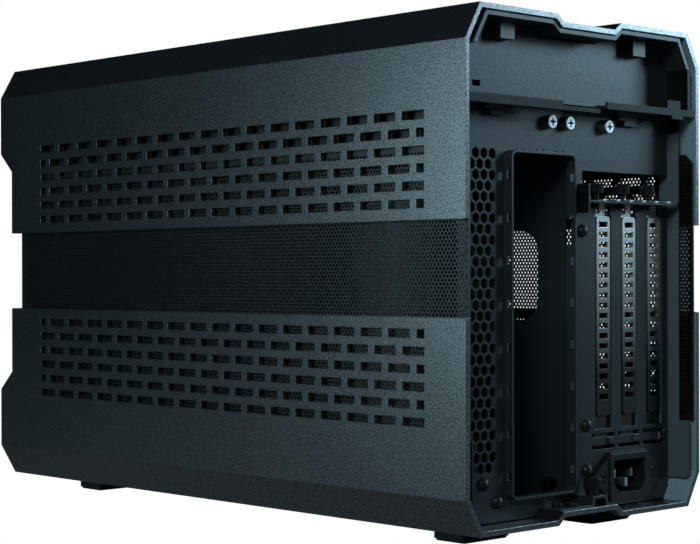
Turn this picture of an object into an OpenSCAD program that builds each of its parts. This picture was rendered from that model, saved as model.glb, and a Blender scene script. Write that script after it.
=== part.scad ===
// Mini-ITX computer case with a folded top cover and bottom cover, mesh sides,
// a central motherboard tray and a recessed rear panel.
// Heights inside the modules are measured from the shell's lowest face.
// lift() raises each piece by the feet, so that the feet stand on z = 0.

/* [Case] */
// Width of the shell across the two side walls
case_w = 173.4; // [168:0.2:190]
// Depth of the shell from front to rear
case_d = 371; // [360:1:400]
// Height of the shell without its feet
shell_h = 236.9; // [232:0.1:260]
// Thickness of the folded steel sheets inside
sheet = 1.2; // [1:0.1:1.5]
// Gap left between pieces that are put together by hand
fit_gap = 0.3; // [0.2:0.05:0.5]
// Gap between a screw or a stem and the hole it passes
screw_gap = 0.05; // [0.03:0.01:0.1]

/* [Covers] */
// Wall of the top cover and the bottom cover
cover_t = 2.5; // [2:0.1:3]
// Height of the top cover
top_cover_h = 96.15; // [90:0.05:100]
// Height of the bottom cover
bottom_cover_h = 97.2; // [90:0.1:100]
// Width taken by the long corner chamfers
chamfer_x = 9.6; // [8:0.1:12]
// Height taken by the long corner chamfers
chamfer_z = 16.7; // [14:0.1:20]
// Width of the shallow valley at its mouth
valley_w = 47; // [42:1:56]
// Width of the valley at its floor
valley_floor_w = 38; // [32:1:40]
// Depth of the valley
valley_depth = 3.6; // [3:0.1:4.5]
// How far the middle of the front steps back
step_depth = 11.6; // [8:0.1:13]
// Distance from the roof or floor to the start of the step
step_start = 49.5; // [48:0.5:54]
// Distance from the roof or floor to the end of the step
step_end = 60.2; // [58:0.1:66]

/* [Side slots] */
// Length of one slot
slot_len = 13.8; // [10:0.1:15]
// Height of one slot
slot_h = 4; // [3:0.1:5]
// Distance from slot to slot along a row
slot_pitch = 18.15; // [17:0.05:19]
// Distance from row to row
slot_row_pitch = 8; // [7:0.1:9]
// Number of rows on each cover
slot_rows = 6; // [4:1:7]
// Number of slots in a full row
slot_count = 17; // [12:1:18]
// Distance from a cover's free edge to the first row
slot_edge = 7.45; // [6:0.05:9]
// Middle of the slot field behind the middle of the case
slot_mid_y = 8; // [0:1:10]

/* [Top liner] */
// Thickness of the plastic liner under the top cover
liner_t = 2.2; // [1.8:0.1:2.6]
// How far the liner's sides stand off the cover's sides
liner_side_gap = 3.7; // [3.6:0.1:4.2]
// Distance from the rear rim to the liner's end
liner_inset = 1; // [0.5:0.1:3]
// Distance from the roof to the liner's lower edge
liner_drop = 18.4; // [18:0.1:20]
// Width of a hanging clip block
clip_w = 9.8; // [8:0.1:12]
// Depth of a hanging clip block
clip_d = 4.8; // [4:0.1:6]
// Height of a hanging clip block
clip_h = 8.3; // [6:0.1:9]
// Distance of the clips and catches from the middle
clip_x = 49; // [44:1:54]

/* [Feet] */
// Height of a foot
foot_h = 7; // [5:0.5:10]
// Width of a foot
foot_w = 32; // [20:0.5:34]
// Length of a foot
foot_l = 20.5; // [18:0.5:26]
// Distance from the shell's side to a foot's middle
foot_side_inset = 40.45; // [36:0.05:44]
// Distance from the shell's front to the middle of a front foot
foot_front_inset = 54; // [46:0.5:70]
// Distance from the shell's rear rim to the middle of a rear foot
foot_rear_inset = 34; // [30:0.5:46]
// Radius of a foot's upright corners
foot_r = 2.5; // [1:0.5:5]
// Radius of the foot screw's shank
foot_screw_r = 1.5; // [1.2:0.1:2]
// Radius of the foot screw's head
foot_head_r = 2.8; // [2.5:0.1:3.5]

/* [Rear panel] */
// Distance from the covers' rear rim to the panel's outer face
panel_inset = 13.8; // [10:0.1:18]
// Distance from the roof to the underside of the ledge
ledge_drop = 41.2; // [39:0.1:43]
// Length of the folded edges of the panel
panel_flange = 4.2; // [4:0.1:6]
// Opening for the motherboard connectors, across
io_w = 44.45; // [44:0.05:46]
// Opening for the motherboard connectors, upright
io_h = 158.75; // [158:0.05:160]
// Middle of that opening across the case
io_x = 21.75; // [20:0.05:26]
// Middle of that opening above the shell's lowest face
io_z = 93.05; // [92:0.05:96]
// How far the rim stands out round that opening
io_rim = 4.3; // [3:0.1:6]
// Wall of the rim
io_rim_t = 1.2; // [1:0.1:1.6]
// Corner radius of that opening
io_r = 2.5; // [1:0.1:4]
// Spacing of the small slots in the rim
rim_slot_pitch = 19.8; // [18:0.1:24]
// Length of a small slot in the rim
rim_slot_len = 3.8; // [2.5:0.1:6]

/* [Hexagon vent] */
// Width of one hexagon across its flats
hex_w = 4.6; // [4:0.1:4.8]
// Distance from hexagon to hexagon along a row
hex_pitch = 5.6; // [5.4:0.1:5.8]
// Distance from row to row
hex_row = 4.94; // [4.8:0.02:5.1]
// Number of rows
hex_rows = 30; // [24:1:31]
// Hexagons in the longer rows
hex_cols = 4; // [3:1:4]
// Middle of the innermost hexagons
hex_x = 53.8; // [52:0.1:55]
// Middle of the highest row
hex_top_z = 171.4; // [168:0.1:174]

/* [Expansion slots] */
// Distance from slot to slot
pci_pitch = 20.32; // [20.32:0.01:20.32]
// Number of expansion slots
pci_count = 3; // [3:1:3]
// Middle of the slot nearest the tray
pci_x = -26.8; // [-28:0.1:-25]
// Width of the openings in the panel
pci_open_w = 12.5; // [12:0.1:13]
// Lower end of the openings
pci_open_z0 = 41; // [40:0.5:43]
// Upper end of the openings
pci_open_z1 = 145.2; // [144:0.1:147]
// Width of the notch from each opening to the window
pci_notch_w = 10.5; // [9:0.1:12]
// Width of the raised band of a slot cover
band_w = 10.2; // [9:0.1:11]
// How far the band stands out of the panel's face
band_proud = 0.2; // [0:0.1:0.6]
// Lower end of the raised band
band_z0 = 47.5; // [46:0.1:49]
// Upper end of the raised band
band_z1 = 144.4; // [143:0.1:145]
// Corner radius of the raised band
band_r = 2; // [1:0.1:3]
// Width of a slot cover's plate
cover_plate_w = 17.4; // [16:0.1:17.6]
// Thickness of a slot cover
cover_plate_t = 0.9; // [0.8:0.1:1]
// Lower end of a slot cover's plate
cover_plate_z0 = 32.6; // [32:0.1:40]
// Upper end of a slot cover's plate
cover_plate_z1 = 146.1; // [145.5:0.1:147]
// Width of the neck under the fixing tab
neck_w = 4.8; // [4:0.1:5.4]
// How far the neck stands beside the middle of its slot
neck_shift = 1.6; // [0:0.1:2]
// Width of the fixing tab
tab_w = 17; // [16.6:0.1:17.4]
// Depth of the fixing tab
tab_d = 9.6; // [8:0.1:10.4]
// Width of a vent window in a slot cover
window_w = 6.6; // [6:0.1:7.5]
// Height of a vent window
window_h = 2.7; // [2:0.1:3]
// Distance from vent window to vent window
window_pitch = 4.93; // [4.5:0.01:5.5]
// Number of vent windows in a slot cover
window_count = 18; // [12:1:18]
// Middle of the highest vent window
window_top_z = 140.5; // [139:0.1:141]

/* [Slot shelf] */
// Underside of the shelf
shelf_z = 150.4; // [149.5:0.1:152]
// How far the shelf stands out of the panel's face
shelf_out = 8.3; // [7:0.1:9]
// How far the shelf reaches inside the panel's face
shelf_in = 14; // [12:0.5:18]
// Upper edge of the window above the shelf
shelf_window_z1 = 166.1; // [165:0.1:168]
// Inner end of the shelf
shelf_x0 = -5.5; // [-7:0.1:-5]
// Outer end of the shelf
shelf_x1 = -76; // [-76.2:0.1:-75]
// Length of one tooth on the shelf's lip
tooth_w = 5.6; // [4:0.1:7]
// Height of the teeth
tooth_h = 0.9; // [0.5:0.1:1.5]
// Radius of a thumbscrew's head
thumb_r = 4; // [3.4:0.1:4.6]
// Height of a thumbscrew's head
thumb_h = 4.5; // [3:0.1:6]
// Height of the bare shank under the head
thumb_gap = 3; // [1:0.1:4]
// Radius of a thumbscrew's shank
thumb_shank_r = 1.7; // [1.5:0.1:2]
// How far the thumbscrews' axes stand out of the panel's face
thumb_out = 2.2; // [2.1:0.1:2.6]
// Distance of a thumbscrew's axis from the middle of its slot
thumb_x = 8.6; // [8.2:0.1:9]

/* [Mains inlet] */
// Middle of the inlet across the case
inlet_x = -43.2; // [-46:0.1:-42]
// Middle of the inlet above the shell's lowest face
inlet_z = 17.35; // [17:0.05:19]
// Half the width of the inlet's flange
inlet_half_w = 25.4; // [25:0.1:27]
// Height of the inlet's flange
inlet_flange_h = 24.3; // [23:0.1:25]
// Thickness of the inlet's flange
inlet_flange_t = 2.6; // [2:0.1:4]
// Distance between the inlet's two screws
inlet_screw_pitch = 40; // [40:0.1:40]
// Width of the socket's recess
socket_w = 24.4; // [24:0.1:25]
// Height of the socket's recess
socket_h = 16; // [15.5:0.1:16.5]
// Depth of the socket's recess
socket_d = 16; // [14:0.5:18]
// Wall of the socket's body
socket_wall = 1.8; // [1.5:0.1:2]

/* [Motherboard tray] */
// Face of the tray on the expansion card's side
tray_x = -5.7; // [-6.5:0.1:-5.2]
// Thickness of the tray
tray_t = 1; // [0.8:0.1:1.2]
// Height of the board's standoffs
standoff_h = 6.4; // [6:0.1:7]
// Width of a standoff across its flats
standoff_w = 5; // [4.5:0.1:6]
// Radius of the threaded hole in a standoff
standoff_bore_r = 1.35; // [1.2:0.05:1.6]
// Board hole spacing from front to rear
board_dy = 154.94; // [154.94:0.01:154.94]
// Board hole spacing up the case
board_dz = 157.48; // [157.48:0.01:157.48]
// Distance from the panel's face to the first board holes
board_inset = 13.16; // [12:0.01:14]
// Height of the board's middle over the connector opening's middle
board_rise = 1.5; // [0:0.1:3]
// Rear end of the processor cut-out before the panel's face
cutout_inset = 22.7; // [20:0.1:26]
// Length of the processor cut-out
cutout_l = 28; // [24:1:60]
// Height of the processor cut-out
cutout_h = 43.5; // [30:0.5:60]
// Upper edge of the processor cut-out
cutout_top = 137.5; // [134:0.5:142]
// Corner radius of the processor cut-out
cutout_r = 10.5; // [5:0.5:11]

/* [Power supply bracket] */
// Distance from the front rim to the bracket
psu_inset = 44.3; // [42:0.1:50]
// Middle of the power supply across the case
psu_x = 38; // [37:0.5:40]
// Middle of the power supply above the shell's lowest face
psu_z = 100; // [90:1:104]
// Power supply hole spacing across
psu_dx = 51.5; // [51.5:0.1:51.5]
// Power supply hole spacing upright
psu_dz = 113; // [113:0.1:113]
// Radius of the power supply's screw holes
psu_hole_r = 1.8; // [1.6:0.1:2.1]
// Opening behind the power supply, across
psu_open_w = 40; // [34:1:44]
// Opening behind the power supply, upright
psu_open_h = 100; // [80:1:104]
// Length of the bracket's folded edges
psu_flange = 18; // [12:1:24]

/* [Fan bracket] */
// Distance between the fan's screw holes
fan_hole_pitch = 105; // [105:0.1:105]
// Radius of the fan openings
fan_open_r = 57; // [54:0.5:58]
// Distance of each fan's middle from the bracket's middle
fan_y = 60; // [59.5:0.5:62]
// Length of the slotted fan holes
fan_slot_len = 12; // [8:0.5:16]
// Radius of the ends of the slotted fan holes
fan_hole_r = 2.2; // [2:0.1:2.5]
// Length of the bracket
fan_bracket_l = 300; // [280:1:310]

/* [Riser] */
// Top of the riser's stand above the shell's lowest face
riser_z = 44; // [42:0.5:48]
// Length of the riser's stand
riser_l = 106; // [100:1:112]
// Distance from the rear panel's face to the stand
riser_inset = 40; // [36:1:44]
// Length of the card slot
card_slot_l = 89; // [89:1:89]
// Height of the card slot
card_slot_h = 11.3; // [11:0.1:11.6]
// Width of the card slot
card_slot_w = 7.5; // [7:0.1:8]
// Length of the groove's long part
groove_l = 71.5; // [71.5:0.1:71.5]
// Length of the groove's short part
groove_short_l = 11.7; // [11.7:0.1:11.7]

/* [Front sockets] */
// Height of the row of sockets
port_z = 33; // [30:0.5:36]
// Middle of the power button across the case
button_x = 60; // [58:0.5:62]
// Radius of the power button
button_r = 5.7; // [5:0.1:6.5]
// Travel of the power button
button_travel = 1.2; // [1:0.1:1.4]
// Middle of the small oval socket
usb_c_x = 42; // [41:0.5:44]
// Middles of the two flat sockets
usb_a_x = 25; // [24:0.5:26]
// Distance between the two flat sockets
usb_a_pitch = 18; // [17:0.5:20]
// Middle of the audio socket
audio_x = -8; // [-9:0.5:-7]

/* [Hidden] */
$fn = 48;

half_w = case_w / 2;
rear_y = case_d / 2;
front_y = -case_d / 2;
panel_y = rear_y - panel_inset;
panel_back_y = panel_y - sheet;
ledge_z = shell_h - ledge_drop;
foot_x = half_w - foot_side_inset;
foot_front_y = -front_y - foot_front_inset;
foot_rear_y = rear_y - foot_rear_inset;
cut = 1;

// Sheets stacked from the covers' side walls inwards
mesh_gap = 0.5;
mesh_x1 = half_w - cover_t - mesh_gap;
mesh_t = 1;
side_frame_x1 = mesh_x1 - 2.7;
side_frame_t = 1;
wall_x1 = side_frame_x1 - side_frame_t;
panel_half = wall_x1 - sheet - 0.2;

// Long chamfers and valley, as lengths along their slopes
chamfer_len = sqrt(chamfer_x * chamfer_x + chamfer_z * chamfer_z);
valley_run = (valley_w - valley_floor_w) / 2;
valley_len = sqrt(valley_run * valley_run + valley_depth * valley_depth);
step_rise = step_end - step_start;
step_len = sqrt(step_rise * step_rise + step_depth * step_depth);

// Gap between the bottom cover's inner face and the base frame
base_gap = 0.6;
base_d = cover_t + base_gap;
valley_top_z = valley_depth + cover_t;
liner_d = cover_t + fit_gap;
liner_under_z = shell_h - liner_d - liner_t;
front_wall_y = front_y + step_depth + cover_t + 5.1;
fascia_y = front_wall_y - sheet;

board_mid_z = io_z + board_rise;
board_rear_y = panel_y - board_inset;
tray_face_x = tray_x + tray_t;
deck_z = shell_h - liner_drop;
psu_y = front_y + psu_inset;
inner_floor_z = base_d + sheet;

module lift() {
    translate([0, 0, foot_h]) children();
}

// Extrudes an outline drawn in x and z between two depths
module along_y(y0, y1) {
    translate([0, y1, 0]) rotate([90, 0, 0]) linear_extrude(y1 - y0) children();
}

// Extrudes an outline drawn in y and z between two widths
module along_x(x0, x1) {
    translate([x0, 0, 0]) rotate([90, 0, 90]) linear_extrude(x1 - x0) children();
}

module box(x0, x1, y0, y1, z0, z1) {
    translate([min(x0, x1), min(y0, y1), min(z0, z1)])
        cube([abs(x1 - x0), abs(y1 - y0), abs(z1 - z0)]);
}

// Rounded rectangle about the origin
module round_rect(w, h, r) {
    square([w - 2 * r, h], center = true);
    square([w, h - 2 * r], center = true);
    for (sx = [-1, 1], sy = [-1, 1])
        translate([sx * (w / 2 - r), sy * (h / 2 - r)]) circle(r);
}

// Slot with round ends along its first direction
module round_slot(l, r) {
    square([l - 2 * r, 2 * r], center = true);
    for (s = [-1, 1]) translate([s * (l / 2 - r), 0]) circle(r);
}

// Right half of the roof outline, moved inwards by d, its side by e more
function roof_half(d, z0, e) = [
    [half_w - d - e, z0],
    [half_w - d - e, shell_h - chamfer_z - d * (chamfer_len - chamfer_z) / chamfer_x],
    [half_w - e - chamfer_x - d * (chamfer_len - chamfer_x) / chamfer_z, shell_h - d],
    [valley_w / 2 + d * (valley_len - valley_run) / valley_depth, shell_h - d],
    [valley_floor_w / 2 + d * (valley_len - valley_run) / valley_depth,
        shell_h - valley_depth - d]];

function mirrored(points) = [for (i = [len(points) - 1:-1:0]) [-points[i][0], points[i][1]]];

function reversed(points) = [for (i = [len(points) - 1:-1:0]) points[i]];

function roof(d, z0, e = 0) = concat(roof_half(d, z0, e), mirrored(roof_half(d, z0, e)));

function upside_down(points) = [for (p = points) [p[0], shell_h - p[1]]];

// Side outline of the top cover, moved inwards by d at the front
function front_profile(d, z0, y1) = let (k = d * (step_len - step_rise) / step_depth) [
    [y1, z0],
    [y1, shell_h + cut],
    [front_y + d, shell_h + cut],
    [front_y + d, shell_h - step_start + k],
    [front_y + step_depth + d, shell_h - step_end + k],
    [front_y + step_depth + d, z0]];

// Slots of one cover, counted from its free edge at z0
module slot_field(z0) {
    field = (slot_count - 1) * slot_pitch + slot_len;
    y0 = slot_mid_y - field / 2;
    for (row = [0:slot_rows - 1]) {
        odd = row % 2;
        shift = odd == 1 ? 0 : -slot_pitch / 2;
        for (i = [0:slot_count - odd]) {
            a = max(y0, y0 + shift + i * slot_pitch);
            b = min(y0 + field, y0 + shift + i * slot_pitch + slot_len);
            translate([a, z0 + slot_edge + row * slot_row_pitch - slot_h / 2])
                square([b - a, slot_h]);
        }
    }
}

// Folded shell with a closed, stepped front, open below and at the rear
module cover_shell(z0) {
    difference() {
        intersection() {
            along_y(front_y, rear_y) polygon(roof(0, z0));
            along_x(-half_w, half_w) polygon(front_profile(0, z0, rear_y));
        }
        intersection() {
            along_y(front_y, rear_y + cut) polygon(roof(cover_t, z0 - cut));
            along_x(-half_w, half_w) polygon(front_profile(cover_t, z0 - cut, rear_y + cut));
        }
        along_x(-half_w - cut, half_w + cut) slot_field(z0);
    }
}

module top_cover() {
    color([0.23, 0.27, 0.29]) lift() cover_shell(shell_h - top_cover_h);
}

module port_holes() {
    gap2 = 2 * fit_gap;
    along_y(front_y - cut, front_y + cover_t + cut) {
        translate([button_x, port_z]) circle(button_r + fit_gap);
        translate([usb_c_x, port_z]) round_slot(usb_c_w + gap2, usb_c_h / 2 + fit_gap);
        for (i = [0, 1])
            translate([usb_a_x - i * usb_a_pitch, port_z])
                square([usb_a_w + gap2, usb_a_h + gap2], center = true);
        translate([audio_x, port_z]) circle(audio_r + fit_gap);
    }
}

module foot_places() {
    for (sx = [-1, 1], y = [-foot_front_y, foot_rear_y])
        translate([sx * foot_x, y, 0]) children();
}

module bottom_cover() {
    color([0.23, 0.27, 0.29]) lift() difference() {
        translate([0, 0, shell_h]) mirror([0, 0, 1]) cover_shell(shell_h - bottom_cover_h);
        port_holes();
        foot_places() translate([0, 0, -cut])
            cylinder(h = cover_t + 2 * cut, r = foot_screw_r + screw_gap);
    }
}

// Sheet folded to follow the roof inside the top cover
module top_liner() {
    outer = roof(liner_d, deck_z + fit_gap, liner_side_gap);
    inner = roof(liner_d + liner_t, deck_z + fit_gap, liner_side_gap);
    color([0.1, 0.115, 0.125]) lift()
        along_y(front_y + liner_d, rear_y - liner_inset)
            polygon(concat(outer, reversed(inner)));
}

module cover_clip(side) {
    y0 = panel_y + fit_gap + 0.2;
    color([0.2, 0.22, 0.23]) lift() translate([side * clip_x, 0, 0]) difference() {
        box(-clip_w / 2, clip_w / 2, y0, y0 + clip_d, liner_under_z - clip_h, liner_under_z);
        box(-clip_w / 2 + 1.2, clip_w / 2 - 1.2, y0 - cut, y0 + clip_d - 1.2,
            liner_under_z - clip_h + 1.2, liner_under_z - 1.2);
    }
}

module cover_clip_right() {
    cover_clip(1);
}

module cover_clip_left() {
    cover_clip(-1);
}

// Outline of the front wall and the rear panel, following the floor
module end_outline(z1) {
    intersection() {
        polygon(upside_down(roof(base_d, 0)));
        translate([-panel_half, 0]) square([2 * panel_half, z1]);
    }
}

module base_frame() {
    floor_outer = upside_down(roof(base_d, shell_h - 60));
    floor_inner = upside_down(roof(base_d + sheet, shell_h - 60));
    color([0.12, 0.135, 0.15]) lift() difference() {
        union() {
            intersection() {
                along_y(front_wall_y, panel_back_y)
                    polygon(concat(floor_outer, reversed(floor_inner)));
                box(-wall_x1, wall_x1, front_y, rear_y, 0, chamfer_z);
            }
            for (s = [-1, 1])
                box(s * (wall_x1 - sheet), s * wall_x1, front_wall_y, panel_back_y,
                    base_wall_z0, base_wall_z1);
            along_y(fascia_y, front_wall_y) end_outline(ledge_z);
            for (x = [io_stud_x0, io_stud_x1])
                translate([x, fascia_y, port_z]) rotate([90, 0, 0])
                    cylinder(h = fascia_y - io_board_y1, r = 2.5);
        }
        foot_places() cylinder(h = 2 * chamfer_z, r = foot_screw_r + screw_gap);
    }
}

base_wall_z0 = 11;
base_wall_z1 = 41;

module pci_places() {
    for (i = [0:pci_count - 1]) translate([pci_x - i * pci_pitch, 0]) children();
}

// Outline of all the openings in the rear panel
module panel_openings() {
    translate([io_x, io_z]) round_rect(io_w, io_h, io_r);
    for (row = [0:hex_rows - 1]) {
        odd = row % 2;
        for (i = [0:hex_cols - 1 - odd])
            translate([hex_x + (i + odd / 2) * hex_pitch, hex_top_z - row * hex_row])
                rotate(30) circle(r = hex_w / sqrt(3), $fn = 6);
    }
    pci_places() {
        translate([-pci_open_w / 2, pci_open_z0])
            square([pci_open_w, pci_open_z1 - pci_open_z0]);
        translate([-pci_notch_w / 2, pci_open_z1 - cut])
            square([pci_notch_w, shelf_z - pci_open_z1 + cut]);
        for (z = low_slot_z)
            translate([-low_slot_w / 2, z]) square([low_slot_w, low_slot_h]);
    }
    translate([shelf_x1 - fit_gap, shelf_z - fit_gap])
        square([shelf_x0 - shelf_x1 - 5, shelf_window_z1 - shelf_z + fit_gap]);
    translate([inlet_x, inlet_z]) square([socket_body_w, socket_body_h] + [fit_gap, fit_gap],
        center = true);
    for (s = [-1, 1])
        translate([inlet_x + s * inlet_screw_pitch / 2, inlet_z])
            circle(inlet_screw_r + screw_gap);
    for (p = plug_places) translate(p) circle(plug_stem_r + screw_gap);
    for (x = frame_screw_x) translate([x, frame_screw_z]) circle(frame_screw_r + screw_gap);
    for (i = [0:2], s = [-1, 1])
        translate([io_x - 1.5 + (i - 1) * 14 + s * 2.55, io_z + io_h / 2 + 2.1]) circle(0.45);
}

low_slot_w = 17.5;
low_slot_h = 2;
low_slot_z = [37, 31.2];
plug_places = [[-10.8, 137.2], [-13.5, 43.6], [-13.8, 21.9], [60.6, 21.1], [51, 12.2]];
plug_stem_r = 1.5;
plug_r = 3.3;
frame_screw_x = [15, 1.8, -27.8];
frame_screw_z = ledge_z - 7.7;
frame_screw_r = 1.7;
frame_head_r = 3.4;
frame_head_t = 3.6;
socket_body_w = socket_w + 2 * socket_wall;
socket_body_h = socket_h + 2 * socket_wall;
inlet_screw_r = 1.5;

module rear_panel() {
    color([0.15, 0.17, 0.19]) lift() difference() {
        union() {
            along_y(panel_back_y, panel_y) difference() {
                end_outline(ledge_z - 0.2);
                panel_openings();
            }
            for (s = [-1, 1])
                box(s * (panel_half - sheet), s * panel_half, panel_back_y - panel_flange,
                    panel_back_y, base_wall_z0 + 5, ledge_z - 0.2);
            io_rim_wall();
            low_slot_tabs();
        }
        box(-panel_half - cut, shelf_x1, panel_back_y - panel_flange - cut, panel_y + cut,
            shelf_z - fit_gap, shelf_window_z1);
        box(io_x - io_w / 2 - 4, io_x - io_w / 2 + 0.1, panel_back_y - cut, panel_y + 1.7,
            tray_notch_z0, tray_notch_z1);
    }
}

// Notch beside the connector opening and the slot behind it in the tray
tray_notch_z0 = 130.6;
tray_notch_z1 = 143.2;

// Rim round the connector opening, with small slots in its upright walls
module io_rim_wall() {
    z_mid = io_z;
    difference() {
        along_y(panel_y, panel_y + io_rim) translate([io_x, io_z]) difference() {
            round_rect(io_w + 2 * io_rim_t, io_h + 2 * io_rim_t, io_r + io_rim_t);
            round_rect(io_w, io_h, io_r);
        }
        for (i = [-3.5:3.5])
            box(io_x - io_w, io_x + io_w, panel_y + 1.2, panel_y + 3.4,
                z_mid + i * rim_slot_pitch - rim_slot_len / 2,
                z_mid + i * rim_slot_pitch + rim_slot_len / 2);
    }
}

// Pressed tabs between the two rows of low slots
module low_slot_tabs() {
    for (i = [0:pci_count - 1])
        translate([pci_x - i * pci_pitch - 5.2, 0, 0])
            box(-2, 2, panel_y, panel_y + 1.1, 33.5, 36.6);
}

// Upright frame plate with a large air opening
module side_frame(side) {
    color([0.13, 0.15, 0.16]) lift() difference() {
        along_x(side > 0 ? side_frame_x1 - side_frame_t : -side_frame_x1,
                side > 0 ? side_frame_x1 : side_frame_t - side_frame_x1) difference() {
            union() {
                translate([front_wall_y, side_frame_z0])
                    square([panel_y - 3 - front_wall_y, side_frame_z1 - side_frame_z0]);
                translate([front_wall_y, side_frame_z0])
                    square([side_frame_y1 - front_wall_y, ledge_z - 0.4 - side_frame_z0]);
                translate([front_wall_y, side_frame_z0])
                    square([side_heel_y - front_wall_y, mesh_z0 - side_frame_z0 - 3]);
                translate([front_wall_y, side_frame_z0 + 3])
                    square([side_heel_y + 3 - front_wall_y, mesh_z0 - side_frame_z0 - 3]);
                translate([side_heel_y, side_frame_z0 + 3]) circle(3);
            }
            translate([side_open_y0, side_open_z0])
                square([side_open_y1 - side_open_y0, side_open_z1 - side_open_z0]);
        }
    }
}

side_frame_z0 = 13.6;
side_frame_z1 = ledge_z + 8.5;
side_frame_y1 = panel_y + 6.3;
side_heel_y = panel_y + 9.3;
side_open_y0 = front_wall_y + 16;
side_open_y1 = panel_y - 5.7;
side_open_z0 = 48;
side_open_z1 = 170;
mesh_z0 = 42.5;
mesh_z1 = 190;
mesh_y0 = front_y + 17.5;
mesh_y1 = rear_y - 0.8;
mesh_field_z0 = 46.5;
mesh_field_z1 = 171;
mesh_gaps = 118;
mesh_slit_w = 1.7;

module side_frame_right() {
    side_frame(1);
}

module side_frame_left() {
    side_frame(-1);
}

// Perforated side sheet with folded edges towards the frame
module mesh_panel(side) {
    field = mesh_y1 - mesh_y0 - 9;
    pitch = field / mesh_gaps;
    depth = mesh_x1 - side_frame_x1;
    color([0.07, 0.08, 0.09]) lift() mirror([side > 0 ? 0 : 1, 0, 0]) {
        along_x(mesh_x1 - mesh_t, mesh_x1) difference() {
            polygon([[mesh_y0, mesh_z0], [mesh_y1, mesh_z0], [mesh_y1, mesh_field_z1],
                [mesh_y1 - 4.7, mesh_z1], [mesh_y0, mesh_z1]]);
            for (i = [0:mesh_gaps - 1])
                translate([mesh_y0 + 7 + i * pitch, mesh_field_z0])
                    square([mesh_slit_w, mesh_field_z1 - mesh_field_z0]);
        }
        box(mesh_x1 - depth, mesh_x1, mesh_y0, mesh_y0 + mesh_t, mesh_z0, mesh_z1);
        box(mesh_x1 - depth, mesh_x1, mesh_y0, side_frame_y1, mesh_z0, mesh_z0 + mesh_t);
        box(mesh_x1 - depth, mesh_x1, mesh_y0, side_frame_y1, mesh_z1 - mesh_t, mesh_z1);
    }
}

module mesh_panel_right() {
    mesh_panel(1);
}

module mesh_panel_left() {
    mesh_panel(-1);
}

// Plain folded sheet that closes the front between the covers
module front_fascia() {
    color([0.09, 0.1, 0.11]) lift() {
        box(-wall_x1, wall_x1, fascia_y - sheet, fascia_y, step_start + 4, shell_h - step_start - 4);
    }
}

module upper_frame() {
    rear_wall_d = liner_d + liner_t + 0.6;
    x_in = wall_x1 - sheet;
    color([0.15, 0.17, 0.19]) lift() difference() {
        union() {
            along_y(panel_back_y, panel_y) {
                polygon(roof(rear_wall_d, ledge_z, liner_side_gap));
                translate([-ledge_half, ledge_z]) square([2 * ledge_half, deck_z - ledge_z]);
            }
            ledge();
            for (s = [-1, 1]) {
                box(s * x_in, s * wall_x1, fascia_y, panel_y, ledge_z, deck_z);
                box(s * (x_in - 12), s * wall_x1, fascia_y, panel_back_y,
                    deck_z - sheet, deck_z);
            }
            box(-wall_x1, liner_t - wall_x1, panel_back_y, ledge_y1, ledge_z, deck_z);
            box(-wall_x1, wall_x1, fascia_y, front_wall_y, ledge_z, deck_z);
            box(-skirt_half, skirt_half, panel_back_y - sheet, panel_back_y, skirt_z0, ledge_z);
            box(-skirt_half, skirt_half, panel_back_y - sheet, panel_back_y, ledge_z - 1,
                ledge_z + 4);
        }
        box(61.8, 67.2, panel_back_y - 2 * sheet, panel_y + cut, ledge_z + 5.9, ledge_z + 8.6);
        for (x = frame_screw_x)
            translate([x, panel_y, frame_screw_z]) rotate([90, 0, 0])
                cylinder(h = 6, r = frame_screw_r + screw_gap);
    }
}

ledge_y1 = rear_y - 0.3;
ledge_half = half_w - cover_t - 0.5;
skirt_half = 74;
skirt_z0 = ledge_z - 14.7;
ledge_notch_x0 = -13.4;
ledge_notch_x1 = 19.2;
ledge_tab_x0 = -71.7;
ledge_tab_x1 = -60.9;

// Flat ledge with a stepped lip, a notch for cables and an upright tab
module ledge() {
    lip_y0 = ledge_y1 - sheet;
    difference() {
        box(-ledge_half, ledge_half, panel_back_y, ledge_y1, ledge_z, ledge_z + sheet);
        box(ledge_notch_x0, ledge_notch_x1, lip_y0 - 2, ledge_y1 + cut, ledge_z - 1, ledge_z + 4);
    }
    box(ledge_notch_x1, ledge_half, lip_y0, ledge_y1, ledge_z - 3.1, ledge_z + sheet);
    box(-8, ledge_notch_x1 + 0.1, lip_y0, ledge_y1, ledge_z - 3.1, ledge_z - 1.1);
    box(-ledge_half, ledge_notch_x0, lip_y0, ledge_y1, ledge_z - 0.7, ledge_z + 2.7);
    box(ledge_tab_x0, ledge_tab_x1, lip_y0, ledge_y1, ledge_z, ledge_z + 6.7);
    box(ledge_tab_x0 - 2.3, ledge_tab_x1 - 3.6, lip_y0, ledge_y1, ledge_z - 2.4, ledge_z);
}

catch_shift = 3.6;

// Sprung catch under the ledge
module catch(side) {
    y1 = panel_y + 2.8;
    color([0.05, 0.055, 0.06]) lift() translate([side * clip_x + catch_shift, 0, 0]) difference() {
        union() {
            box(-9.25, 9.25, panel_y, y1, ledge_z - 4.1, ledge_z);
            box(-5, 5, panel_y, y1, ledge_z - 6.6, ledge_z - 4);
        }
        box(-8.4, -5.8, y1 - 1, y1 + cut, ledge_z - 3, ledge_z - 1.6);
    }
}

module catch_right() {
    catch(1);
}

module catch_left() {
    catch(-1);
}

// Deck for two fans or a radiator, under the roof
module fan_bracket() {
    half = wall_x1 - 2 * sheet - 0.5;
    color([0.14, 0.16, 0.17]) lift() translate([0, 0, deck_z]) linear_extrude(sheet) difference() {
        square([2 * half, fan_bracket_l], center = true);
        for (sy = [-1, 1]) translate([0, sy * fan_y]) {
            circle(fan_open_r, $fn = 96);
            for (hx = [-1, 1], hy = [-1, 1])
                translate([hx * fan_hole_pitch / 2, hy * fan_hole_pitch / 2])
                    round_slot(fan_slot_len, fan_hole_r);
        }
    }
}

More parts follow.
